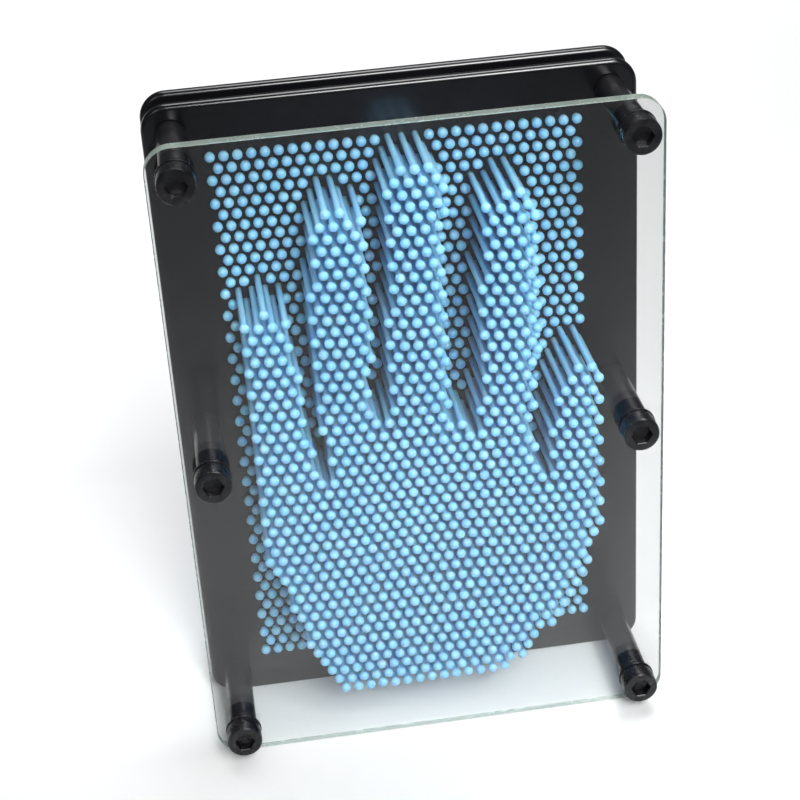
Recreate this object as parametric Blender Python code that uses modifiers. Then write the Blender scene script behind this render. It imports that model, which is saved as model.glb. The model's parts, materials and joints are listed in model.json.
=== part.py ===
"""Pin art impression toy: a field of sliding pins held by two plates behind a clear cover.

The toy stands on its bottom edges, with the clear cover to the front (-Y), +X to the right
and +Z up. Six cap screws hold the cover, the spacers and the two pin plates together.
The pins are grouped: each group is a bank of ball heads with one blade for every second row
of pins, and the blades slide through the slots of both plates.
"""
import math

import bmesh
import bpy

MM = 0.001

# Pin field: rows from the top, every second row shifted sideways by half a pitch.
ROW_COUNT = 49
LONG_ROW_PINS = 28
PITCH_X = 4.0 * MM
PITCH_Z = 3.655 * MM

# Pins.
BALL_RADIUS = 1.55 * MM
BALL_SEAT = 0.85 * MM
SHAFT_RADIUS = 1.0 * MM
TAIL = 44.0 * MM
PIN_TRAVEL = 26.5 * MM

# Plates, cover and their spacing, front to back.
PLATE_WIDTH = 145.6 * MM
PLATE_HEIGHT = 207.6 * MM
PLATE_CORNER = 8.0 * MM
PLATE_EDGE = 0.8 * MM
PLATE_THICKNESS = 3.5 * MM
PLATE_GAP = 7.5 * MM
COVER_THICKNESS = 3.5 * MM
SEAT_TO_PLATE = 1.2 * MM
COVER_CLEARANCE = 0.3 * MM

# Screws, washers, spacers and nuts.
POST_X = 64.3 * MM
POST_Z = 95.0 * MM
SHANK_RADIUS = 3.0 * MM
BORE_RADIUS = 3.3 * MM
HEAD_RADIUS = 5.5 * MM
HEAD_HEIGHT = 6.0 * MM
HEAD_CHAMFER = 0.5 * MM
SOCKET_FLATS = 5.5 * MM
SOCKET_DEPTH = 3.0 * MM
WASHER_RADIUS = 5.7 * MM
WASHER_THICKNESS = 0.8 * MM
SPACER_RADIUS = 4.4 * MM
NUT_FLATS = 10.0 * MM
NUT_THICKNESS = 5.0 * MM
SCREW_OVERHANG = 1.2 * MM

MERGE_DISTANCE = 0.01 * MM

# Clearances.
STACK_GAP = 0.2 * MM
GROUP_GAP = 0.4 * MM
SLOT_CLEARANCE = 0.32 * MM
BLADE_INSET = 0.5 * MM
PIN_HOLE_RADIUS = 1.35 * MM

# Roundness of the faceted solids.
ROUND_STEPS = 16
HEX_STEPS = 6
PIN_STEPS = 12
CORNER_STEPS = 6
BALL_STEPS = 6

# The hand pressed into the pins, in millimetres from the middle of the pin field.
# Each finger has a tip circle and a base circle: centre x, centre z and radius.
FINGERS = {
    "little": ((-43.8, 40.7, 7.2), (-42.4, 0.0, 8.0)),
    "ring": ((-21.3, 70.6, 8.1), (-23.0, 5.0, 8.6)),
    "middle": ((2.0, 82.3, 8.3), (-0.5, 8.0, 9.0)),
    "index": ((29.3, 69.8, 8.2), (26.5, 5.0, 8.8)),
    "thumb": ((50.5, 12.0, 8.3), (47.2, -18.0, 9.2)),
}
PALM_OUTLINE = [
    (-51.2, 2), (-51.2, -36), (-47.7, -44), (-44.3, -58), (-40.3, -70.6), (-36.4, -81), (-31.5, -92),
    (18, -92), (27.9, -85), (33.6, -79), (39.2, -73), (44.4, -66.8), (48.2, -59.3), (51.1, -49),
    (55, -39), (57, -20), (56, -10), (38.5, -19), (34.5, -11), (34.5, -2), (14, 4),
    (-12, 8.5), (-25, 2), (-28.5, -3), (-30.5, -9), (-32.5, -5), (-33, 0), (-38, 4),
]
HAND_REACH = 26.3
EDGE_FALL = 0.35
PALM_ROUNDING = 6.0
HOLLOW_CENTRE = (5.0, -38.0)
HOLLOW_SPREAD = 16.0
HOLLOW_DEPTH = 3.5

# Where the hand's pin banks divide, in millimetres from the middle of the pin field.
FINGER_SPLIT = {"little": 20.0, "ring": 40.0, "middle": 45.0, "index": 38.0}
KNUCKLE_Z = 8.0
UPPER_PALM_Z = -28.0
LOWER_PALM_Z = -60.0
PALM_SPLIT_X = (-18.0, 17.0)
HEEL_SPLIT_X = -4.0
THUMB_X = 39.0
THUMB_Z = -16.0

# Where the flat field's pin banks divide, in the same measure: between the fingers' lines,
# above the little finger's tip, below the hand's widest part and left of the hand.
RING_LINE_X = -22.0
MIDDLE_LINE_X = 1.5
INDEX_LINE_X = 29.0
UPPER_FIELD_Z = 48.0
LOWER_FIELD_Z = -30.0
LEFT_EDGE_X = -43.0

# Stations along Y, with the row frame's origin midway between the foremost and rearmost points.
STACK_FRONT = (PIN_TRAVEL + BALL_RADIUS + COVER_CLEARANCE + COVER_THICKNESS
               + STACK_GAP + WASHER_THICKNESS + STACK_GAP + HEAD_HEIGHT)
BALL_Y = (STACK_FRONT - TAIL) / 2
FRONT_PLATE_Y = BALL_Y + SEAT_TO_PLATE
REAR_PLATE_Y = FRONT_PLATE_Y + PLATE_THICKNESS + PLATE_GAP
REAR_FACE_Y = REAR_PLATE_Y + PLATE_THICKNESS
COVER_BACK_Y = BALL_Y - PIN_TRAVEL - BALL_RADIUS - COVER_CLEARANCE
COVER_FRONT_Y = COVER_BACK_Y - COVER_THICKNESS
WASHER_Y = COVER_FRONT_Y - STACK_GAP - WASHER_THICKNESS
HEAD_FRONT_Y = WASHER_Y - STACK_GAP - HEAD_HEIGHT
NUT_Y = REAR_FACE_Y + STACK_GAP
SCREW_END_Y = NUT_Y + NUT_THICKNESS + SCREW_OVERHANG

MIDDLE_Z = PLATE_HEIGHT / 2
BLADE_THICKNESS = 2 * math.pi * SHAFT_RADIUS ** 2 / PITCH_X
SLOT_HEIGHT = BLADE_THICKNESS + 2 * SLOT_CLEARANCE
FIELD_HALF_WIDTH = LONG_ROW_PINS * PITCH_X / 2
POSTS = {
    "upper_left": (-POST_X, POST_Z), "upper_right": (POST_X, POST_Z),
    "middle_left": (-POST_X, 0.0), "middle_right": (POST_X, 0.0),
    "lower_left": (-POST_X, -POST_Z), "lower_right": (POST_X, -POST_Z),
}
FRONT_TURN = (math.pi / 2, 0, 0)  # turns local +Z to the front of the toy


def clear_scene():
    for old in list(bpy.data.objects):
        bpy.data.objects.remove(old, do_unlink=True)


def new_collection(name):
    collection = bpy.data.collections.new(name)
    bpy.context.scene.collection.children.link(collection)
    return collection


def new_material(name, colour, roughness, metallic=0.0, alpha=1.0):
    material = bpy.data.materials.new(name)
    material.use_nodes = True
    shader = material.node_tree.nodes["Principled BSDF"]
    shader.inputs["Base Color"].default_value = (*colour, 1.0)
    shader.inputs["Roughness"].default_value = roughness
    shader.inputs["Metallic"].default_value = metallic
    shader.inputs["Alpha"].default_value = alpha
    return material


def add_object(name, mesh, material, collection):
    thing = bpy.data.objects.new(name, mesh)
    collection.objects.link(thing)
    if material:
        mesh.materials.append(material)
    return thing


def flat_prism(name, outlines, y_front, y_back, material, edge=0.0):
    """A solid between two Y stations from closed outlines of (x, z) points."""
    curve = bpy.data.curves.new(name, "CURVE")
    curve.dimensions = "2D"
    curve.fill_mode = "BOTH"
    curve.extrude = (y_back - y_front) / 2 - edge
    curve.bevel_depth = edge
    curve.bevel_resolution = 1
    curve.offset = -edge
    for outline in outlines:
        spline = curve.splines.new("POLY")
        spline.points.add(len(outline) - 1)
        for point, (x, z) in zip(spline.points, outline):
            point.co = (x, z, 0, 1)
        spline.use_cyclic_u = True
    shape = bpy.data.objects.new(name + "_outline", curve)
    PARTS.objects.link(shape)
    shape.rotation_euler = FRONT_TURN
    shape.location = (0, (y_front + y_back) / 2, MIDDLE_Z)
    bpy.context.view_layer.update()
    evaluated = shape.evaluated_get(bpy.context.evaluated_depsgraph_get())
    mesh = bpy.data.meshes.new_from_object(evaluated)
    solid = bmesh.new()
    solid.from_mesh(mesh)
    bmesh.ops.remove_doubles(solid, verts=solid.verts, dist=MERGE_DISTANCE)
    bmesh.ops.recalc_face_normals(solid, faces=solid.faces)
    solid.to_mesh(mesh)
    solid.free()
    mesh.materials.clear()
    prism = add_object(name, mesh, material, PARTS)
    prism.matrix_world = shape.matrix_world
    bpy.data.objects.remove(shape)
    return prism


def cutter(name, build):
    """A guide object for a Boolean, filled by build(bmesh) in world coordinates."""
    shape = bmesh.new()
    build(shape)
    mesh = bpy.data.meshes.new(name)
    shape.to_mesh(mesh)
    shape.free()
    guide = add_object(name, mesh, None, CUTTERS)
    guide.hide_render = True
    guide.display_type = "WIRE"
    return guide


def apply_boolean(thing, guide, operation, solver="EXACT"):
    modifier = thing.modifiers.new(guide.name, "BOOLEAN")
    modifier.object = guide
    modifier.operation = operation
    modifier.solver = solver


def add_box(shape, low, high):
    middle = [(a + b) / 2 for a, b in zip(low, high)]
    corner = bmesh.ops.create_cube(shape, size=1.0)["verts"]
    bmesh.ops.scale(shape, verts=corner, vec=[b - a for a, b in zip(low, high)])
    bmesh.ops.translate(shape, verts=corner, vec=middle)


def add_rod(shape, x, z, y_front, y_back, radius, steps):
    """A closed cylinder along Y, at (x, z) from the middle of the pin field."""
    made = bmesh.ops.create_cone(shape, cap_ends=True, segments=steps, radius1=radius,
                                 radius2=radius, depth=y_back - y_front)["verts"]
    for vertex in made:
        across, up, along = vertex.co
        vertex.co = (x + across, (y_front + y_back) / 2 - along, MIDDLE_Z + z + up)


def turned(name, profile, x, z, y_front, material, steps, closed):
    """A turned piece about a Y axis; profile lists (radius, distance behind y_front)."""
    mesh = bpy.data.meshes.new(name)
    links = [(i, i + 1) for i in range(len(profile) - 1)]
    if closed:
        links.append((len(profile) - 1, 0))
    mesh.from_pydata([(radius, 0, -depth) for radius, depth in profile], links, [])
    piece = add_object(name, mesh, material, PARTS)
    piece.rotation_euler = FRONT_TURN
    piece.location = (x, y_front, MIDDLE_Z + z)
    screw = piece.modifiers.new("turn", "SCREW")
    screw.steps = steps
    screw.render_steps = steps
    screw.use_merge_vertices = True
    screw.merge_threshold = MERGE_DISTANCE
    screw.use_smooth_shade = True
    return piece


def tube(name, x, z, y_front, length, radius, material):
    profile = [(radius, 0), (radius, length), (BORE_RADIUS, length), (BORE_RADIUS, 0)]
    return turned(name, profile, x, z, y_front, material, ROUND_STEPS, True)


def rounded_outline(width, height, corner):
    """The plates' outline: a rectangle with arc corners, counter-clockwise."""
    points = []
    for quarter in range(4):
        side_x = 1 if quarter in (0, 3) else -1
        side_z = 1 if quarter in (0, 1) else -1
        for step in range(CORNER_STEPS + 1):
            angle = math.pi / 2 * (quarter + step / CORNER_STEPS)
            points.append((side_x * (width / 2 - corner) + corner * math.cos(angle),
                           side_z * (height / 2 - corner) + corner * math.sin(angle)))
    return points


# ---- the hand's relief -------------------------------------------------------------------

def finger_height(x, z, finger):
    (tip_x, tip_z, tip_radius), (base_x, base_z, base_radius) = FINGERS[finger]
    run_x, run_z = tip_x - base_x, tip_z - base_z
    along = ((x - base_x) * run_x + (z - base_z) * run_z) / (run_x ** 2 + run_z ** 2)
    along = min(max(along, 0.0), 1.0)
    radius = base_radius + (tip_radius - base_radius) * along
    off_axis = math.hypot(x - base_x - run_x * along, z - base_z - run_z * along)
    if off_axis >= radius:
        return 0.0
    return HAND_REACH - EDGE_FALL * (radius - math.sqrt(radius ** 2 - off_axis ** 2))


def depth_inside_palm(x, z):
    """Distance to the palm's outline, or zero outside it."""
    inside = False
    nearest = math.inf
    for (x1, z1), (x2, z2) in zip(PALM_OUTLINE, PALM_OUTLINE[1:] + PALM_OUTLINE[:1]):
        if (z1 > z) != (z2 > z) and x < x1 + (x2 - x1) * (z - z1) / (z2 - z1):
            inside = not inside
        run_x, run_z = x2 - x1, z2 - z1
        along = ((x - x1) * run_x + (z - z1) * run_z) / (run_x ** 2 + run_z ** 2)
        along = min(max(along, 0.0), 1.0)
        nearest = min(nearest, math.hypot(x - x1 - run_x * along, z - z1 - run_z * along))
    return nearest if inside else 0.0


def palm_height(x, z):
    inside = depth_inside_palm(x, z)
    if inside == 0.0:
        return 0.0
    shoulder = PALM_ROUNDING - min(inside, PALM_ROUNDING)
    fall = PALM_ROUNDING - math.sqrt(PALM_ROUNDING ** 2 - shoulder ** 2)
    spread = ((x - HOLLOW_CENTRE[0]) ** 2 + (z - HOLLOW_CENTRE[1]) ** 2) / (2 * HOLLOW_SPREAD ** 2)
    return HAND_REACH - EDGE_FALL * fall - HOLLOW_DEPTH * math.exp(-spread)


def pin_height(x, z):
    """How far a pin stands forward of its rest place, in millimetres."""
    return max([palm_height(x, z)] + [finger_height(x, z, finger) for finger in FINGERS])


# ---- the pin banks -----------------------------------------------------------------------

def bank_of(x, z, row, column):
    """The name of the bank that a pin belongs to."""
    if row == ROW_COUNT - 1 and column == LONG_ROW_PINS - 1:
        return "corner_pin"
    if pin_height(x, z) > 0:
        return hand_bank(x, z)
    return field_bank(x, z)


def hand_bank(x, z):
    if x > THUMB_X and z > THUMB_Z:
        return "thumb_pins"
    if z > KNUCKLE_Z:
        finger = max(FINGERS, key=lambda name: finger_height(x, z, name))
        return finger + ("_finger_tip_pins" if z > FINGER_SPLIT[finger] else "_finger_base_pins")
    if z > UPPER_PALM_Z:
        level = "upper_palm"
    elif z > LOWER_PALM_Z:
        level = "middle_palm"
    else:
        return "left_heel_pins" if x < HEEL_SPLIT_X else "right_heel_pins"
    if x < PALM_SPLIT_X[0]:
        return level + "_left_pins"
    return level + ("_right_pins" if x > PALM_SPLIT_X[1] else "_centre_pins")


def field_bank(x, z):
    if z < LOWER_FIELD_Z:
        return "lower_left_field_pins" if x < 0 else "lower_right_field_pins"
    if x < RING_LINE_X:
        if z > UPPER_FIELD_Z:
            return "upper_left_field_pins"
        return "left_edge_pins" if x < LEFT_EDGE_X else "little_ring_gap_pins"
    if x < MIDDLE_LINE_X:
        return "ring_middle_gap_pins"
    if x < INDEX_LINE_X:
        return "middle_index_gap_pins"
    return "upper_right_field_pins" if z > UPPER_FIELD_Z else "index_thumb_gap_pins"


def pin_places():
    """Every pin's (x, z, row, column), in metres from the middle of the pin field."""
    for row in range(ROW_COUNT):
        short = row % 2
        for column in range(LONG_ROW_PINS - short):
            x = (column - (LONG_ROW_PINS - 1 - short) / 2) * PITCH_X
            yield x, ((ROW_COUNT - 1) / 2 - row) * PITCH_Z, row, column


def sort_into_banks():
    banks = {}
    for x, z, row, column in pin_places():
        name = bank_of(x / MM, z / MM, row, column)
        banks.setdefault(name, []).append((x, z, row, column))
    return banks


def bank_cells(pins):
    """The half-pitch cells under a bank's ball heads; each pin covers two side by side."""
    cells = set()
    for _, _, row, column in pins:
        first = 2 * column + row % 2
        cells.update({(first, ROW_COUNT - 1 - row), (first + 1, ROW_COUNT - 1 - row)})
    return cells


def cell_loops(cells):
    """Closed loops of grid corners round the cells, with the cells on the left."""
    leaving = {}
    for i, k in cells:
        sides = [((0, -1), (i, k), (i + 1, k)), ((1, 0), (i + 1, k), (i + 1, k + 1)),
                 ((0, 1), (i + 1, k + 1), (i, k + 1)), ((-1, 0), (i, k + 1), (i, k))]
        for (step_i, step_k), start, end in sides:
            if (i + step_i, k + step_k) not in cells:
                leaving.setdefault(start, []).append(end)
    loops = []
    while leaving:
        corner = min(leaving)
        loop = [corner]
        heading = None
        while True:
            choices = leaving[corner]
            if heading and len(choices) > 1:
                left = (corner[0] - heading[1], corner[1] + heading[0])
                following = left if left in choices else choices[0]
            else:
                following = choices[0]
            choices.remove(following)
            if not choices:
                del leaving[corner]
            heading = (following[0] - corner[0], following[1] - corner[1])
            corner = following
            if corner == loop[0]:
                break
            loop.append(corner)
        loops.append(loop)
    return loops


def inset_loop(loop):
    """A grid loop as (x, z) points, without its straight corners and drawn in by half a gap."""
    points = []
    for before, corner, after in zip(loop[-1:] + loop[:-1], loop, loop[1:] + loop[:1]):
        arrive = (corner[0] - before[0], corner[1] - before[1])
        leave = (after[0] - corner[0], after[1] - corner[1])
        if arrive == leave:
            continue
        inward = (-arrive[1] - leave[1], arrive[0] + leave[0])
        points.append((corner[0] * PITCH_X / 2 - FIELD_HALF_WIDTH + inward[0] * GROUP_GAP / 2,
                       (corner[1] - ROW_COUNT / 2) * PITCH_Z + inward[1] * GROUP_GAP / 2))
    return points


def blade_runs(pins):
    """Unbroken runs of pins in the bank's even rows, as lists of (x, z)."""
    runs = []
    last = None
    for x, z, row, column in sorted(pins, key=lambda pin: (pin[2], pin[3])):
        if row % 2:
            continue
        if last != (row, column - 1):
            runs.append([])
        runs[-1].append((x, z))
        last = (row, column)
    return runs


def build_bank(name, pins, material):
    heights = [pin_height(x / MM, z / MM) * MM for x, z, _, _ in pins]
    y_front = BALL_Y - max(heights) - BALL_RADIUS
    y_back = BALL_Y - min(heights) + BALL_SEAT
    outlines = [inset_loop(loop) for loop in cell_loops(bank_cells(pins))]
    bank = flat_prism(name, outlines, y_front, y_back, material)

    def blades(shape):
        for run in blade_runs(pins):
            z = run[0][1] + MIDDLE_Z
            height = sum(pin_height(x / MM, z0 / MM) for x, z0 in run) / len(run) * MM
            reach = PITCH_X / 2 - BLADE_INSET
            add_box(shape, (run[0][0] - reach, (y_front + y_back) / 2, z - BLADE_THICKNESS / 2),
                    (run[-1][0] + reach, BALL_Y + TAIL - height, z + BLADE_THICKNESS / 2))

    apply_boolean(bank, cutter(name + "_blades", blades), "UNION", "MANIFOLD")


def build_corner_pin(x, z, material):
    ball = []
    neck = math.asin(SHAFT_RADIUS / BALL_RADIUS)
    for step in range(BALL_STEPS + 1):
        angle = (math.pi - neck) * step / BALL_STEPS
        ball.append((BALL_RADIUS * math.sin(angle), BALL_RADIUS * (1 - math.cos(angle))))
    end = BALL_RADIUS + TAIL
    tail = [(SHAFT_RADIUS, end - SHAFT_RADIUS / 2), (SHAFT_RADIUS / 2, end), (0, end)]
    turned("corner_pin", ball + tail, x, z, BALL_Y - BALL_RADIUS, material, PIN_STEPS, False)


# ---- plates, cover and fasteners ---------------------------------------------------------

def build_pin_plate(name, y_front, material):
    outline = rounded_outline(PLATE_WIDTH, PLATE_HEIGHT, PLATE_CORNER)
    plate = flat_prism(name, [outline], y_front, y_front + PLATE_THICKNESS, material, PLATE_EDGE)
    through = (y_front - MM, y_front + PLATE_THICKNESS + MM)

    def openings(shape):
        for row in range(0, ROW_COUNT, 2):
            z = ((ROW_COUNT - 1) / 2 - row) * PITCH_Z + MIDDLE_Z
            left = -FIELD_HALF_WIDTH + BLADE_INSET - SLOT_CLEARANCE
            right = -left if row < ROW_COUNT - 1 else -left - PITCH_X
            add_box(shape, (left, through[0], z - SLOT_HEIGHT / 2),
                    (right, through[1], z + SLOT_HEIGHT / 2))
        for x, z in POSTS.values():
            add_rod(shape, x, z, *through, BORE_RADIUS, ROUND_STEPS)
        add_rod(shape, FIELD_HALF_WIDTH - PITCH_X / 2, -(ROW_COUNT - 1) / 2 * PITCH_Z,
                *through, PIN_HOLE_RADIUS, PIN_STEPS)

    apply_boolean(plate, cutter(name + "_openings", openings), "DIFFERENCE")


def build_cover(material):
    outline = rounded_outline(PLATE_WIDTH, PLATE_HEIGHT, PLATE_CORNER)
    cover = flat_prism("clear_front_cover", [outline], COVER_FRONT_Y, COVER_BACK_Y, material)

    def bolt_holes(shape):
        for x, z in POSTS.values():
            add_rod(shape, x, z, COVER_FRONT_Y - MM, COVER_BACK_Y + MM, BORE_RADIUS, ROUND_STEPS)

    apply_boolean(cover, cutter("cover_bolt_holes", bolt_holes), "DIFFERENCE")


def build_screw(place, x, z, material):
    length = SCREW_END_Y - HEAD_FRONT_Y
    profile = [(0, 0), (HEAD_RADIUS - HEAD_CHAMFER, 0), (HEAD_RADIUS, HEAD_CHAMFER),
               (HEAD_RADIUS, HEAD_HEIGHT), (SHANK_RADIUS, HEAD_HEIGHT),
               (SHANK_RADIUS, length - HEAD_CHAMFER), (SHANK_RADIUS - HEAD_CHAMFER, length),
               (0, length)]
    screw = turned("cap_screw_" + place, profile, x, z, HEAD_FRONT_Y, material, ROUND_STEPS, False)

    def socket(shape):
        add_rod(shape, x, z, HEAD_FRONT_Y - MM, HEAD_FRONT_Y + SOCKET_DEPTH,
                SOCKET_FLATS / math.sqrt(3), HEX_STEPS)

    guide = cutter("socket_" + place, socket)
    apply_boolean(screw, guide, "DIFFERENCE")


def build_nut(place, x, z, material):
    def bore(shape):
        add_rod(shape, x, z, NUT_Y - MM, NUT_Y + NUT_THICKNESS + MM, BORE_RADIUS, ROUND_STEPS)

    shape = bmesh.new()
    add_rod(shape, x, z, NUT_Y, NUT_Y + NUT_THICKNESS, NUT_FLATS / math.sqrt(3), HEX_STEPS)
    mesh = bpy.data.meshes.new("nut_" + place)
    shape.to_mesh(mesh)
    shape.free()
    nut = add_object("nut_" + place, mesh, material, PARTS)
    apply_boolean(nut, cutter("nut_bore_" + place, bore), "DIFFERENCE")


def build_post(place, x, z, black, black_metal):
    build_screw(place, x, z, black_metal)
    tube("washer_" + place, x, z, WASHER_Y, WASHER_THICKNESS, WASHER_RADIUS, black_metal)
    front = COVER_BACK_Y + STACK_GAP
    tube("cover_spacer_" + place, x, z, front, FRONT_PLATE_Y - STACK_GAP - front,
         SPACER_RADIUS, black)
    front = FRONT_PLATE_Y + PLATE_THICKNESS + STACK_GAP
    tube("plate_spacer_" + place, x, z, front, REAR_PLATE_Y - STACK_GAP - front,
         SPACER_RADIUS, black)
    build_nut(place, x, z, black_metal)


def build_toy():
    black = new_material("black_plastic", (0.012, 0.012, 0.014), 0.18)
    black_metal = new_material("black_metal", (0.016, 0.016, 0.018), 0.28, metallic=0.5)
    clear = new_material("clear_acrylic", (0.86, 0.92, 0.89), 0.03, alpha=0.25)
    blue = new_material("blue_plastic", (0.25, 0.58, 0.86), 0.3)

    build_cover(clear)
    build_pin_plate("front_pin_plate", FRONT_PLATE_Y, black)
    build_pin_plate("rear_pin_plate", REAR_PLATE_Y, black)
    for place, (x, z) in POSTS.items():
        build_post(place, x, z, black, black_metal)
    for name, pins in sort_into_banks().items():
        if name == "corner_pin":
            build_corner_pin(pins[0][0], pins[0][1], blue)
        else:
            build_bank(name, pins, blue)


clear_scene()
PARTS = new_collection("pin_art_impression_toy")
CUTTERS = new_collection("cutters")
build_toy()
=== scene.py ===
"""Pin art impression toy: the finished look of every pin, plate, post and the clear cover.

Each pin bank of the frame is replaced by its real pins, the slotted plates by plates with a
round hole for every pin, and the fasteners by finely turned ones. Lengths are in metres unless
a name or a comment says millimetres.
"""
import json
import math
import random

import bmesh
import bpy
from mathutils import Euler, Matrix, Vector, noise


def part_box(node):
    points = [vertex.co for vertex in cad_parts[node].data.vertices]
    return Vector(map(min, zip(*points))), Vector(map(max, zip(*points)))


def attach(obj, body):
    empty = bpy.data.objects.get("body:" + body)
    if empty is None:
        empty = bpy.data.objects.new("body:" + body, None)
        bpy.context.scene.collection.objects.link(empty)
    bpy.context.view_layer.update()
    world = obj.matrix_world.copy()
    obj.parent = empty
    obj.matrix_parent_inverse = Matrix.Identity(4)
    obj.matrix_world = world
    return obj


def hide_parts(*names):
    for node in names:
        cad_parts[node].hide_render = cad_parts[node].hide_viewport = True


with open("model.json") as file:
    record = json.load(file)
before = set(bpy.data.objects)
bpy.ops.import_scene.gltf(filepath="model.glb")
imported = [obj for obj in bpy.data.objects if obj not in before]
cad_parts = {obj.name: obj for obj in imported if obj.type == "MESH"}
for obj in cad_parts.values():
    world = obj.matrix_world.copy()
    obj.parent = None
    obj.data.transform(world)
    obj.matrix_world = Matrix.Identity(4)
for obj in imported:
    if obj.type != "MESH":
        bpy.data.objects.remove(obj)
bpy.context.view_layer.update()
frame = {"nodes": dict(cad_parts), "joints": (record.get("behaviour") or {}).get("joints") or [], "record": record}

MM = 0.001

# ---- sizes read from the frame -----------------------------------------------------------

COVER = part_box("clear_front_cover")
FRONT_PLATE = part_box("front_pin_plate")
REAR_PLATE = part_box("rear_pin_plate")
CORNER_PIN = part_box("corner_pin")
PLACES = ["upper_left", "upper_right", "middle_left", "middle_right", "lower_left", "lower_right"]

ROW_COUNT = 49
LONG_ROW_PINS = 28
MIDDLE_Z = (COVER[0].z + COVER[1].z) / 2
BALL_RADIUS = (CORNER_PIN[1].x - CORNER_PIN[0].x) / 2
BALL_Y = CORNER_PIN[0].y + BALL_RADIUS
PIN_END_Y = CORNER_PIN[1].y
PITCH_X = (CORNER_PIN[0].x + CORNER_PIN[1].x) / (LONG_ROW_PINS - 1)
PITCH_Z = (2 * MIDDLE_Z - CORNER_PIN[0].z - CORNER_PIN[1].z) / (ROW_COUNT - 1)
BANK_NODES = [name for name in frame["nodes"] if name.endswith("_pins")]
BODY_OF = {node: body for body, nodes in frame["record"]["behaviour"]["bodies"].items()
           for node in nodes}
RETRACTION = {joint["child"]: -joint["range_m"][0] for joint in frame["joints"]}

# ---- detail that only the visible pieces have --------------------------------------------

SHAFT_RADIUS = 1.0 * MM
NECK_LENGTH = 0.3 * MM
NECK_RADIUS = SHAFT_RADIUS * 0.97
PIN_END_RADIUS = SHAFT_RADIUS * 0.94
PIN_STEPS = 14
BALL_STEPS = 9
PIN_END_STEPS = 3
PIN_TILT = math.radians(0.3)
LEAN_RANGE = (-1.6, 0.4)  # times PIN_TILT, about the X axis
PIN_SLACK = 0.25  # millimetres
RELIEF_RIPPLE = 0.5  # millimetres
RIPPLE_WIDTH = 7 * MM
PIN_SEED = 7
HOLE_RADIUS = 1.3 * MM
HOLE_CHAMFER = 0.2 * MM
HOLE_STEPS = 16
CUT_PAST = 1.0 * MM
PLATE_CORNER = 8.0 * MM
PLATE_EDGE = 1.4 * MM
COVER_EDGE = 0.25 * MM
FLAT_NORMAL = 0.99
BORE_RADIUS = 3.3 * MM
SEAT_RADIUS = 7.3 * MM
SEAT_DEPTH = 0.25 * MM
TURN_STEPS = 64

SHANK_RADIUS = 3.0 * MM
HEAD_GAP = 0.03  # of the head's height, free above its washer
HEAD_ROUNDING = 0.7 * MM
SOCKET_FLATS = 5.5 * MM
SOCKET_DEPTH = 3.0 * MM
SOCKET_TIP = 3.9 * MM
SOCKET_CHAMFER = 0.2 * MM
SOCKET_RIM = 0.8 * MM
PLAIN_SHANK_END = 4 * MM  # in front of the nut
THREAD_START = 3 * MM  # in front of the nut
THREAD_END = 0.5 * MM  # before the screw's end
THREAD_PITCH = 1.0 * MM
THREAD_DEPTH = 0.45 * MM
THREAD_STEPS = 8  # in one pitch
SCREW_END_CHAMFER = 0.8 * MM
TUBE_BORE = 3.2 * MM
COLLAR_ROUNDING = 0.25 * MM
SPACER_ROUNDING = 0.4 * MM
NUT_BORE = 3.15 * MM
NUT_FRONT_MOUTH = (0.3 * MM, 3.3 * MM)  # depth, radius
NUT_REAR_MOUTH = (0.4 * MM, 3.6 * MM)
NUT_CORNER_CUT = 0.6 * MM
NUT_FACE_REACH = 1.02  # of the distance from the axis to a flat
NUT_STEPS = 96

# The hand pressed into the pins, in millimetres from the middle of the pin field: each finger
# has a tip circle and a base circle (centre x, centre z, radius), as in the CAD.
FINGERS = {
    "little": ((-43.8, 40.7, 7.2), (-42.4, 0.0, 8.0)),
    "ring": ((-21.3, 70.6, 8.1), (-23.0, 5.0, 8.6)),
    "middle": ((2.0, 82.3, 8.3), (-0.5, 8.0, 9.0)),
    "index": ((29.3, 69.8, 8.2), (26.5, 5.0, 8.8)),
    "thumb": ((50.5, 12.0, 8.3), (47.2, -18.0, 9.2)),
}
PALM_OUTLINE = [
    (-51.2, 2), (-51.2, -36), (-47.7, -44), (-44.3, -58), (-40.3, -70.6), (-36.4, -81), (-31.5, -92),
    (18, -92), (27.9, -85), (33.6, -79), (39.2, -73), (44.4, -66.8), (48.2, -59.3), (51.1, -49),
    (55, -39), (57, -20), (56, -10), (38.5, -19), (34.5, -11), (34.5, -2), (14, 4),
    (-12, 8.5), (-25, 2), (-28.5, -3), (-30.5, -9), (-32.5, -5), (-33, 0), (-38, 4),
]
HAND_REACH = 26.3
EDGE_FALL = 0.35
PALM_ROUNDING = 6.0
HOLLOW_CENTRE = (5.0, -38.0)
HOLLOW_SPREAD = 16.0
HOLLOW_DEPTH = 3.5

# ---- camera ------------------------------------------------------------------------------

CAMERA_PLACE = (-0.0599, -0.5189, 0.3932)
CAMERA_TURN = (60.83, 3.33, -8.09)  # degrees
CAMERA_LENS = 85.3  # millimetres, on a 36 mm sensor


# ---- mesh helpers ------------------------------------------------------------------------

def add_piece(name, mesh, body, replaced, materials, sharp=30):
    """Puts a finished mesh in the scene as a piece that rides on a body."""
    piece = bpy.data.objects.new(name, mesh)
    bpy.context.scene.collection.objects.link(piece)
    for material in materials:
        mesh.materials.append(material)
    mesh.shade_smooth()
    mesh.set_sharp_from_angle(angle=math.radians(sharp))
    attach(piece, body)
    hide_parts(*replaced)
    return piece


def solid_mesh(name, points, faces):
    """A mesh of closed solids, with its faces turned outward."""
    mesh = bpy.data.meshes.new(name)
    mesh.from_pydata(points, [], faces)
    shape = bmesh.new()
    shape.from_mesh(mesh)
    bmesh.ops.recalc_face_normals(shape, faces=shape.faces)
    shape.to_mesh(mesh)
    shape.free()
    return mesh


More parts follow.
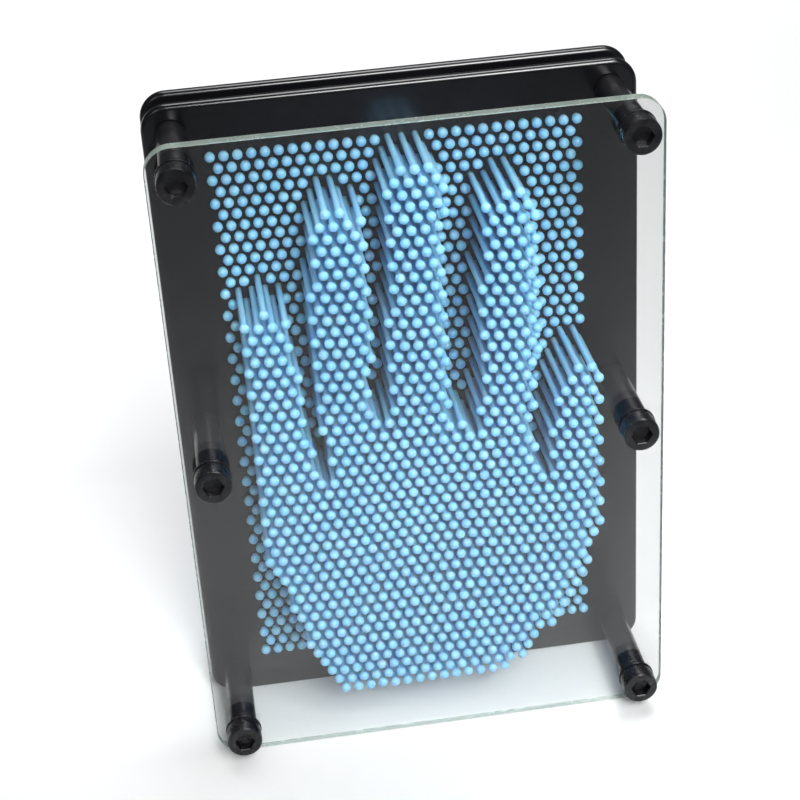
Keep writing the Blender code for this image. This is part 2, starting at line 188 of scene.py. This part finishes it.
def bridge(loops, closed=False):
    """Faces between neighbouring loops of point numbers; a point on the axis stands for a whole loop."""
    pairs = list(zip(loops, loops[1:]))
    if closed:
        pairs.append((loops[-1], loops[0]))
    faces = []
    for first, second in pairs:
        for step in range(len(first)):
            corners = [first[step - 1], first[step], second[step], second[step - 1]]
            faces.append(list(dict.fromkeys(corners)))
    return faces


def turned(stations, steps, centre=Vector(), ring=False):
    """Points and faces of a solid turned about a line along Y through centre.

    stations lists (y, radius); a radius may be a function of the angle and y, and a radius of
    zero closes the end in one point. A ring joins its last station to its first.
    """
    points = []
    loops = []
    for y, radius in stations:
        if radius == 0:
            loops.append([len(points)] * steps)
            points.append((centre.x, y, centre.z))
            continue
        loops.append(range(len(points), len(points) + steps))
        for step in range(steps):
            angle = 2 * math.pi * step / steps
            out = radius(angle, y) if callable(radius) else radius
            points.append((centre.x + out * math.cos(angle), y, centre.z + out * math.sin(angle)))
    return points, bridge(loops, ring)


def rounded_stations(profile, radius, steps=3):
    """A turned profile of (y, radius) points with each inner corner rounded off."""
    rounded = [profile[0]]
    for before, corner, after in zip(profile, profile[1:], profile[2:]):
        here = Vector(corner)
        sides = [Vector(before) - here, Vector(after) - here]
        reach = min([radius] + [side.length * 0.45 for side in sides])
        start, end = [here + side.normalized() * reach for side in sides]
        for step in range(steps + 1):
            t = step / steps
            rounded.append(tuple(start * (1 - t) ** 2 + here * 2 * t * (1 - t) + end * t ** 2))
    rounded.append(profile[-1])
    return rounded


def turned_mesh(name, stations, centre, ring=False, steps=TURN_STEPS):
    return solid_mesh(name, *turned(stations, steps, centre, ring))


def rounded_sheet(name, low, high, edge, edge_steps=4, corner_steps=16):
    """A sheet with round corners between two Y stations, its two outlines rounded off by edge."""
    middle = (low + high) / 2
    half = (high - low) / 2
    levels = []
    for step in range(edge_steps + 1):
        angle = math.pi / 2 * step / edge_steps
        levels.append((low.y + edge * (1 - math.cos(angle)), edge * (1 - math.sin(angle))))
    levels += [(low.y + high.y - y, inset) for y, inset in reversed(levels)]
    points = []
    loops = []
    for y, inset in levels:
        start = len(points)
        for quarter in range(4):
            side_x = 1 if quarter in (0, 3) else -1
            side_z = 1 if quarter in (0, 1) else -1
            for step in range(corner_steps + 1):
                angle = math.pi / 2 * (quarter + step / corner_steps)
                reach = PLATE_CORNER - inset
                points.append((middle.x + side_x * (half.x - PLATE_CORNER) + reach * math.cos(angle), y,
                               middle.z + side_z * (half.z - PLATE_CORNER) + reach * math.sin(angle)))
        loops.append(list(range(start, len(points))))
    return solid_mesh(name, points, bridge(loops) + [loops[0], loops[-1]])


def joined(solids):
    """The points and faces of several solids as one."""
    points, faces = [], []
    for own_points, own_faces in solids:
        start = len(points)
        points.extend(own_points)
        faces.extend([start + index for index in face] for face in own_faces)
    return points, faces


def cut(body, tool):
    """The mesh body less the mesh tool."""
    things = [bpy.data.objects.new(mesh.name, mesh) for mesh in (body, tool)]
    for thing in things:
        bpy.context.scene.collection.objects.link(thing)
    difference = things[0].modifiers.new("cut", "BOOLEAN")
    difference.object = things[1]
    difference.operation = "DIFFERENCE"
    difference.solver = "MANIFOLD"
    bpy.context.view_layer.update()
    evaluated = things[0].evaluated_get(bpy.context.evaluated_depsgraph_get())
    mesh = bpy.data.meshes.new_from_object(evaluated)
    mesh.materials.clear()
    for thing in things:
        bpy.data.objects.remove(thing)
    return mesh


# ---- materials ---------------------------------------------------------------------------

def new_material(name):
    """An empty node material, with its tree, its shader and its object coordinates."""
    material = bpy.data.materials.new(name)
    material.use_nodes = True
    tree = material.node_tree
    shader = tree.nodes["Principled BSDF"]
    place = tree.nodes.new("ShaderNodeTexCoord").outputs["Object"]
    return material, tree, shader, place


def add_noise(tree, place, scale, detail=2.0):
    texture = tree.nodes.new("ShaderNodeTexNoise")
    texture.inputs["Scale"].default_value = scale
    texture.inputs["Detail"].default_value = detail
    tree.links.new(place, texture.inputs["Vector"])
    return texture.outputs["Fac"]


def add_ramp(tree, factor, stops):
    ramp = tree.nodes.new("ShaderNodeValToRGB")
    elements = ramp.color_ramp.elements
    while len(elements) < len(stops):
        elements.new(0.5)
    for element, (position, colour) in zip(elements, stops):
        element.position = position
        element.color = (*colour, 1.0)
    tree.links.new(factor, ramp.inputs["Fac"])
    return ramp.outputs["Color"]


def add_range(tree, factor, low, high):
    scaled = tree.nodes.new("ShaderNodeMapRange")
    scaled.inputs["To Min"].default_value = low
    scaled.inputs["To Max"].default_value = high
    tree.links.new(factor, scaled.inputs["Value"])
    return scaled.outputs["Result"]


def add_bump(tree, shader, height, strength, distance):
    bump = tree.nodes.new("ShaderNodeBump")
    bump.inputs["Strength"].default_value = strength
    bump.inputs["Distance"].default_value = distance
    tree.links.new(height, bump.inputs["Height"])
    tree.links.new(bump.outputs["Normal"], shader.inputs["Normal"])


def pin_plastic():
    """Smooth moulded sky-blue plastic, a little different from pin to pin."""
    material, tree, shader, place = new_material("pin_plastic")
    per_pin = tree.nodes.new("ShaderNodeNewGeometry").outputs["Random Per Island"]
    tint = add_ramp(tree, per_pin, [(0.0, (0.27, 0.59, 0.89)), (0.5, (0.30, 0.62, 0.91)),
                                    (1.0, (0.33, 0.65, 0.93))])
    cloud = add_ramp(tree, add_noise(tree, place, 900), [(0.3, (0.93, 0.95, 0.97)),
                                                         (0.7, (1.0, 1.0, 1.0))])
    mix = tree.nodes.new("ShaderNodeMix")
    mix.data_type = "RGBA"
    mix.blend_type = "MULTIPLY"
    mix.inputs["Factor"].default_value = 1.0
    tree.links.new(tint, mix.inputs["A"])
    tree.links.new(cloud, mix.inputs["B"])
    tree.links.new(mix.outputs["Result"], shader.inputs["Base Color"])
    tree.links.new(add_range(tree, add_noise(tree, place, 350), 0.30, 0.42),
                   shader.inputs["Roughness"])
    add_bump(tree, shader, add_noise(tree, place, 2500, 3.0), 0.12, 0.05 * MM)
    shader.inputs["Subsurface Weight"].default_value = 0.8
    shader.inputs["Subsurface Radius"].default_value = (0.3, 0.8, 1.2)
    shader.inputs["Subsurface Scale"].default_value = 2.0 * MM
    return material


def black_plastic():
    """Glossy injection-moulded black plastic with a faint waviness and handling haze."""
    material, tree, shader, place = new_material("black_plastic")
    shade = add_ramp(tree, add_noise(tree, place, 18, 4.0), [(0.35, (0.0030, 0.0030, 0.0040)),
                                                             (0.7, (0.0058, 0.0058, 0.0074))])
    tree.links.new(shade, shader.inputs["Base Color"])
    tree.links.new(add_range(tree, add_noise(tree, place, 45, 6.0), 0.10, 0.26),
                   shader.inputs["Roughness"])
    add_bump(tree, shader, add_noise(tree, place, 60, 2.0), 0.25, 0.08 * MM)
    return material


def spacer_plastic():
    """Glossy black tube with faint drawing lines round it."""
    material, tree, shader, place = new_material("spacer_plastic")
    shade = add_ramp(tree, add_noise(tree, place, 120, 3.0), [(0.3, (0.006, 0.006, 0.008)),
                                                              (0.75, (0.014, 0.014, 0.017))])
    tree.links.new(shade, shader.inputs["Base Color"])
    rings = tree.nodes.new("ShaderNodeTexWave")
    rings.wave_type = "BANDS"
    rings.bands_direction = "Y"
    rings.inputs["Scale"].default_value = 420
    rings.inputs["Distortion"].default_value = 1.5
    tree.links.new(place, rings.inputs["Vector"])
    tree.links.new(add_range(tree, rings.outputs["Fac"], 0.22, 0.28), shader.inputs["Roughness"])
    add_bump(tree, shader, rings.outputs["Fac"], 0.04, 0.01 * MM)
    return material


def black_oxide():
    """Black oxide finish of the screws, washers and nuts, worn a little brighter in places."""
    material, tree, shader, place = new_material("black_oxide")
    shade = add_ramp(tree, add_noise(tree, place, 260, 5.0), [(0.45, (0.007, 0.007, 0.009)),
                                                              (0.8, (0.026, 0.026, 0.030))])
    tree.links.new(shade, shader.inputs["Base Color"])
    shader.inputs["Metallic"].default_value = 0.35
    tree.links.new(add_range(tree, add_noise(tree, place, 500, 4.0), 0.18, 0.38),
                   shader.inputs["Roughness"])
    add_bump(tree, shader, add_noise(tree, place, 1500, 3.0), 0.15, 0.03 * MM)
    return material


def clear_acrylic():
    """Polished clear sheet with a trace of handling haze; lamps shine through it."""
    material, tree, shader, place = new_material("clear_acrylic")
    shader.inputs["Base Color"].default_value = (0.68, 0.69, 0.69, 1.0)
    shader.inputs["Transmission Weight"].default_value = 1.0
    shader.inputs["IOR"].default_value = 1.49
    tree.links.new(add_range(tree, add_noise(tree, place, 30, 5.0), 0.0, 0.03),
                   shader.inputs["Roughness"])
    let_lamps_through(tree, shader, (0.96, 0.98, 0.97))
    return material


def acrylic_edge():
    """The sheet's sawn and polished rim: greenish grey, catching the light."""
    material, tree, shader, place = new_material("acrylic_edge")
    shade = add_ramp(tree, add_noise(tree, place, 160, 4.0), [(0.3, (0.30, 0.37, 0.33)),
                                                              (0.7, (0.37, 0.44, 0.39))])
    tree.links.new(shade, shader.inputs["Base Color"])
    shader.inputs["Transmission Weight"].default_value = 0.45
    shader.inputs["IOR"].default_value = 1.49
    tree.links.new(add_range(tree, add_noise(tree, place, 400, 3.0), 0.18, 0.34),
                   shader.inputs["Roughness"])
    let_lamps_through(tree, shader, (0.85, 0.9, 0.87))
    return material


def let_lamps_through(tree, shader, tint):
    clear = tree.nodes.new("ShaderNodeBsdfTransparent")
    clear.inputs["Color"].default_value = (*tint, 1.0)
    path = tree.nodes.new("ShaderNodeLightPath")
    mix = tree.nodes.new("ShaderNodeMixShader")
    tree.links.new(path.outputs["Is Shadow Ray"], mix.inputs["Fac"])
    tree.links.new(shader.outputs["BSDF"], mix.inputs[1])
    tree.links.new(clear.outputs["BSDF"], mix.inputs[2])
    tree.links.new(mix.outputs["Shader"], tree.nodes["Material Output"].inputs["Surface"])


# ---- the hand's relief -------------------------------------------------------------------

def finger_height(x, z, finger):
    (tip_x, tip_z, tip_radius), (base_x, base_z, base_radius) = FINGERS[finger]
    run_x, run_z = tip_x - base_x, tip_z - base_z
    along = ((x - base_x) * run_x + (z - base_z) * run_z) / (run_x ** 2 + run_z ** 2)
    along = min(max(along, 0.0), 1.0)
    radius = base_radius + (tip_radius - base_radius) * along
    off_axis = math.hypot(x - base_x - run_x * along, z - base_z - run_z * along)
    if off_axis >= radius:
        return 0.0
    return HAND_REACH - EDGE_FALL * (radius - math.sqrt(radius ** 2 - off_axis ** 2))


def depth_inside_palm(x, z):
    """Distance to the palm's outline, or zero outside it."""
    inside = False
    nearest = math.inf
    for (x1, z1), (x2, z2) in zip(PALM_OUTLINE, PALM_OUTLINE[1:] + PALM_OUTLINE[:1]):
        if (z1 > z) != (z2 > z) and x < x1 + (x2 - x1) * (z - z1) / (z2 - z1):
            inside = not inside
        run_x, run_z = x2 - x1, z2 - z1
        along = ((x - x1) * run_x + (z - z1) * run_z) / (run_x ** 2 + run_z ** 2)
        along = min(max(along, 0.0), 1.0)
        nearest = min(nearest, math.hypot(x - x1 - run_x * along, z - z1 - run_z * along))
    return nearest if inside else 0.0


def palm_height(x, z):
    inside = depth_inside_palm(x, z)
    if inside == 0.0:
        return 0.0
    shoulder = PALM_ROUNDING - min(inside, PALM_ROUNDING)
    fall = PALM_ROUNDING - math.sqrt(PALM_ROUNDING ** 2 - shoulder ** 2)
    spread = ((x - HOLLOW_CENTRE[0]) ** 2 + (z - HOLLOW_CENTRE[1]) ** 2) / (2 * HOLLOW_SPREAD ** 2)
    return HAND_REACH - EDGE_FALL * fall - HOLLOW_DEPTH * math.exp(-spread)


def pin_height(x, z):
    """How far a pin stands forward of its rest place, in millimetres."""
    return max([palm_height(x, z)] + [finger_height(x, z, finger) for finger in FINGERS])


# ---- pins --------------------------------------------------------------------------------

def pin_places():
    """Every pin's (x, z) from the middle of the pin field."""
    for row in range(ROW_COUNT):
        short = row % 2
        for column in range(LONG_ROW_PINS - short):
            yield ((column - (LONG_ROW_PINS - 1 - short) / 2) * PITCH_X,
                   ((ROW_COUNT - 1) / 2 - row) * PITCH_Z)


def bank_at(x, z):
    """The CAD bank whose ball-head slab lies at a pin's place."""
    start = Vector((x, COVER[0].y, MIDDLE_Z + z))
    hits = []
    for name in BANK_NODES:
        hit, where, _, _ = frame["nodes"][name].ray_cast(start, Vector((0, 1, 0)))
        if hit:
            hits.append((where.y, name))
    return min(hits)[1] if hits else "corner_pin"


def pin_template():
    """One pin at rest about the Y axis: ball head, short neck, shaft and rounded end."""
    neck = math.asin(SHAFT_RADIUS / BALL_RADIUS)
    stations = []
    for step in range(BALL_STEPS + 1):
        angle = (math.pi - neck) * step / BALL_STEPS
        stations.append((BALL_Y - BALL_RADIUS * math.cos(angle), BALL_RADIUS * math.sin(angle)))
    stations.append((stations[-1][0] + NECK_LENGTH, NECK_RADIUS))
    for step in range(PIN_END_STEPS + 1):
        angle = math.pi / 2 * step / PIN_END_STEPS
        radius = PIN_END_RADIUS * math.cos(angle)
        y = PIN_END_Y - SHAFT_RADIUS * (1 - math.sin(angle))
        stations.append((y, radius if step < PIN_END_STEPS else 0))
    return turned(stations, PIN_STEPS)


def make_pins():
    """One piece of real pins for each CAD bank; a bank's lowest pin just clears the plate at its limit."""
    dice = random.Random(PIN_SEED)
    template, faces = pin_template()
    pivot = Vector((0, (FRONT_PLATE[0].y + REAR_PLATE[1].y) / 2, 0))
    banks = {}
    for x, z in pin_places():
        banks.setdefault(bank_at(x, z), []).append((x, z))
    plastic = pin_plastic()
    for name, pins in banks.items():
        least = RETRACTION[BODY_OF[name]]
        most = BALL_Y - BALL_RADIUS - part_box(name)[0].y
        solids = []
        for x, z in pins:
            height = pin_height(x / MM, z / MM)
            if height > 0 and name != "corner_pin":
                ripple = noise.noise(Vector((x, 0, z)) / RIPPLE_WIDTH) - 0.5
                height += RELIEF_RIPPLE * ripple - dice.uniform(0, PIN_SLACK)
            height = min(max(height * MM, least), most)
            lean = Euler((dice.uniform(*LEAN_RANGE) * PIN_TILT, 0, dice.uniform(-1, 1) * PIN_TILT))
            turn = lean.to_matrix()
            shift = pivot + Vector((x, -height, MIDDLE_Z + z))
            solids.append(([turn @ (Vector(point) - pivot) + shift for point in template], faces))
        mesh = solid_mesh("pins_" + name, *joined(solids))
        add_piece("pins_of_" + name.replace("_pins", ""), mesh, BODY_OF[name], [name],
                  [plastic], sharp=60)


# ---- plates and cover --------------------------------------------------------------------

def post_centres():
    centres = {}
    for place in PLACES:
        low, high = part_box("cover_spacer_" + place)
        centres[place] = (low + high) / 2
    return centres


def make_plate(name, box, seat_front, material):
    """A moulded plate with a chamfered hole for every pin and a shallow seat at each post."""
    low, high = box
    front, back = low.y - CUT_PAST, high.y + CUT_PAST
    wide = HOLE_RADIUS + HOLE_CHAMFER
    hole = [(front, 0), (front, wide), (low.y, wide), (low.y + HOLE_CHAMFER, HOLE_RADIUS),
            (high.y - HOLE_CHAMFER, HOLE_RADIUS), (high.y, wide), (back, wide), (back, 0)]
    seat = [(front, 0), (front, SEAT_RADIUS), (low.y + SEAT_DEPTH, SEAT_RADIUS),
            (low.y + SEAT_DEPTH, BORE_RADIUS), (back, BORE_RADIUS), (back, 0)]
    if not seat_front:
        seat = [(low.y + high.y - y, radius) for y, radius in seat]
    cutters = [turned(hole, HOLE_STEPS, Vector((x, 0, MIDDLE_Z + z))) for x, z in pin_places()]
    cutters += [turned(seat, TURN_STEPS, centre) for centre in CENTRES.values()]
    mesh = cut(rounded_sheet(name, low, high, PLATE_EDGE), solid_mesh("holes", *joined(cutters)))
    add_piece("perforated_" + name, mesh, "frame", [name], [material])


def make_cover():
    low, high = COVER
    front, back = low.y - CUT_PAST, high.y + CUT_PAST
    bore = [(front, 0), (front, BORE_RADIUS), (back, BORE_RADIUS), (back, 0)]
    bores = joined(turned(bore, TURN_STEPS, centre) for centre in CENTRES.values())
    sheet = rounded_sheet("cover", low, high, COVER_EDGE, edge_steps=1)
    cover = add_piece("clear_cover", cut(sheet, solid_mesh("bores", *bores)), "frame",
                      ["clear_front_cover"], [clear_acrylic(), acrylic_edge()])
    for face in cover.data.polygons:
        face.material_index = 0 if abs(face.normal.y) > FLAT_NORMAL else 1


# ---- posts -------------------------------------------------------------------------------

def hexagon(flats):
    """The radius of a hexagon as a function of the angle."""
    def radius(angle, _):
        return flats / 2 / math.cos((angle % (math.pi / 3)) - math.pi / 6)
    return radius


def make_screw(place, centre, material):
    """A cap screw with a hex socket, its thread running out in front of the nut."""
    low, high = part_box("cap_screw_" + place)
    washer_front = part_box("washer_" + place)[0].y
    nut_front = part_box("nut_" + place)[0].y
    head = (high.x - low.x) / 2
    head_back = washer_front - (washer_front - low.y) * HEAD_GAP
    socket = [(low.y + SOCKET_TIP, 0), (low.y + SOCKET_DEPTH, hexagon(SOCKET_FLATS)),
              (low.y + SOCKET_CHAMFER, hexagon(SOCKET_FLATS)),
              (low.y, hexagon(SOCKET_FLATS + 2 * SOCKET_CHAMFER))]
    outside = rounded_stations([(low.y, SOCKET_FLATS / 2 + SOCKET_RIM), (low.y, head),
                                (head_back, head), (head_back, SHANK_RADIUS),
                                (nut_front - PLAIN_SHANK_END, SHANK_RADIUS)], HEAD_ROUNDING)

    def thread(angle, y):
        phase = ((y - nut_front) / THREAD_PITCH - angle / (2 * math.pi)) % 1
        return SHANK_RADIUS - THREAD_DEPTH * abs(2 * phase - 1)

    threaded = []
    turns = THREAD_STEPS * math.ceil((high.y - nut_front + THREAD_START) / THREAD_PITCH)
    for step in range(turns):
        y = nut_front - THREAD_START + step * THREAD_PITCH / THREAD_STEPS
        if y < high.y - THREAD_END:
            threaded.append((y, thread))
    end = [(high.y, SHANK_RADIUS - SCREW_END_CHAMFER), (high.y, 0)]
    mesh = turned_mesh("screw", socket + outside + threaded + end, centre)
    add_piece("socket_screw_" + place, mesh, "frame", ["cap_screw_" + place],
              [material])


def make_tube(name, node, centre, rounding, material):
    """A plain round tube or ring in a node's place, with rounded rims."""
    low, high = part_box(node)
    outer = (high.x - low.x) / 2
    middle = (TUBE_BORE + outer) / 2
    corners = [(low.y, middle), (low.y, outer), (high.y, outer), (high.y, TUBE_BORE),
               (low.y, TUBE_BORE), (low.y, middle)]
    stations = rounded_stations(corners, rounding)[1:-1]
    mesh = turned_mesh(name, stations, centre, ring=True)
    add_piece(name, mesh, "frame", [node], [material])


def make_nut(place, centre, material):
    """A hex nut with its corners cut back at both faces."""
    low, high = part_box("nut_" + place)
    flats = high.x - low.x
    outside = hexagon(flats)

    def chamfered(angle, y):
        return min(outside(angle, y), flats / 2 * NUT_FACE_REACH)

    front_depth, front_radius = NUT_FRONT_MOUTH
    rear_depth, rear_radius = NUT_REAR_MOUTH
    stations = [(low.y, front_radius), (low.y, chamfered), (low.y + NUT_CORNER_CUT, outside),
                (high.y - NUT_CORNER_CUT, outside), (high.y, chamfered), (high.y, rear_radius),
                (high.y - rear_depth, NUT_BORE), (low.y + front_depth, NUT_BORE)]
    mesh = turned_mesh("nut", stations, centre, ring=True, steps=NUT_STEPS)
    add_piece("hex_nut_" + place, mesh, "frame", ["nut_" + place], [material],
              sharp=20)


def make_posts():
    metal = black_oxide()
    plastic = spacer_plastic()
    for place, centre in CENTRES.items():
        make_screw(place, centre, metal)
        make_tube("collar_" + place, "washer_" + place, centre, COLLAR_ROUNDING,
                  metal)
        make_tube("long_spacer_" + place, "cover_spacer_" + place, centre,
                  SPACER_ROUNDING, plastic)
        make_tube("short_spacer_" + place, "plate_spacer_" + place, centre,
                  SPACER_ROUNDING, plastic)
        make_nut(place, centre, metal)


# ---- studio ------------------------------------------------------------------------------

def make_floor():
    mesh = bpy.data.meshes.new("floor")
    shape = bmesh.new()
    bmesh.ops.create_grid(shape, x_segments=1, y_segments=1, size=4.0)
    shape.to_mesh(mesh)
    shape.free()
    floor = bpy.data.objects.new("floor", mesh)
    bpy.context.scene.collection.objects.link(floor)
    material, tree, shader, place = new_material("floor_paper")
    shade = add_ramp(tree, add_noise(tree, place, 3.0), [(0.0, (0.92, 0.92, 0.92)),
                                                         (1.0, (0.96, 0.96, 0.96))])
    tree.links.new(shade, shader.inputs["Base Color"])
    shader.inputs["Roughness"].default_value = 0.6
    mesh.materials.append(material)


def add_lamp(name, place, target, size, watts, spread=180):
    """A soft box whose light keeps within spread degrees of its aim."""
    lamp = bpy.data.lights.new(name, "AREA")
    lamp.shape = "RECTANGLE"
    lamp.size, lamp.size_y = size
    lamp.energy = watts
    lamp.spread = math.radians(spread)
    holder = bpy.data.objects.new(name, lamp)
    bpy.context.scene.collection.objects.link(holder)
    holder.location = place
    holder.rotation_euler = (Vector(target) - Vector(place)).to_track_quat("-Z", "Y").to_euler()


def make_lamps():
    add_lamp("floor_lamp", (0.2, 1.10, 2.0), (0.0, 0.98, 0.0), (1.6, 1.2), 17.4, spread=97)
    add_lamp("key_lamp", (0.13, -0.62, 0.58), (0.02, 0.02, 0.11), (0.36, 0.36), 0.44, spread=35)
    add_lamp("side_lamp", (0.32, -0.55, 0.88), (0.02, 0.03, 0.12), (0.36, 0.36), 0.22, spread=33)
    add_lamp("left_lamp", (-0.40, -0.60, 0.60), (0.0, 0.0, 0.12), (0.3, 0.3), 0.03, spread=32)
    world = bpy.data.worlds.new("studio")
    bpy.context.scene.world = world
    world.use_nodes = True
    sky = world.node_tree.nodes["Background"]
    sky.inputs["Color"].default_value = (0.90, 0.95, 1.0, 1.0)
    sky.inputs["Strength"].default_value = 0.09


def make_camera():
    camera = bpy.data.cameras.new("camera")
    camera.lens = CAMERA_LENS
    camera.sensor_width = 36
    holder = bpy.data.objects.new("camera", camera)
    bpy.context.scene.collection.objects.link(holder)
    holder.location = CAMERA_PLACE
    holder.rotation_euler = [math.radians(angle) for angle in CAMERA_TURN]
    bpy.context.scene.camera = holder


CENTRES = post_centres()
make_camera()
make_floor()
make_lamps()
make_pins()
PLATE_PLASTIC = black_plastic()
make_plate("front_pin_plate", FRONT_PLATE, True, PLATE_PLASTIC)
make_plate("rear_pin_plate", REAR_PLATE, False, PLATE_PLASTIC)
make_cover()
make_posts()
bpy.context.scene.view_settings.view_transform = "Standard"
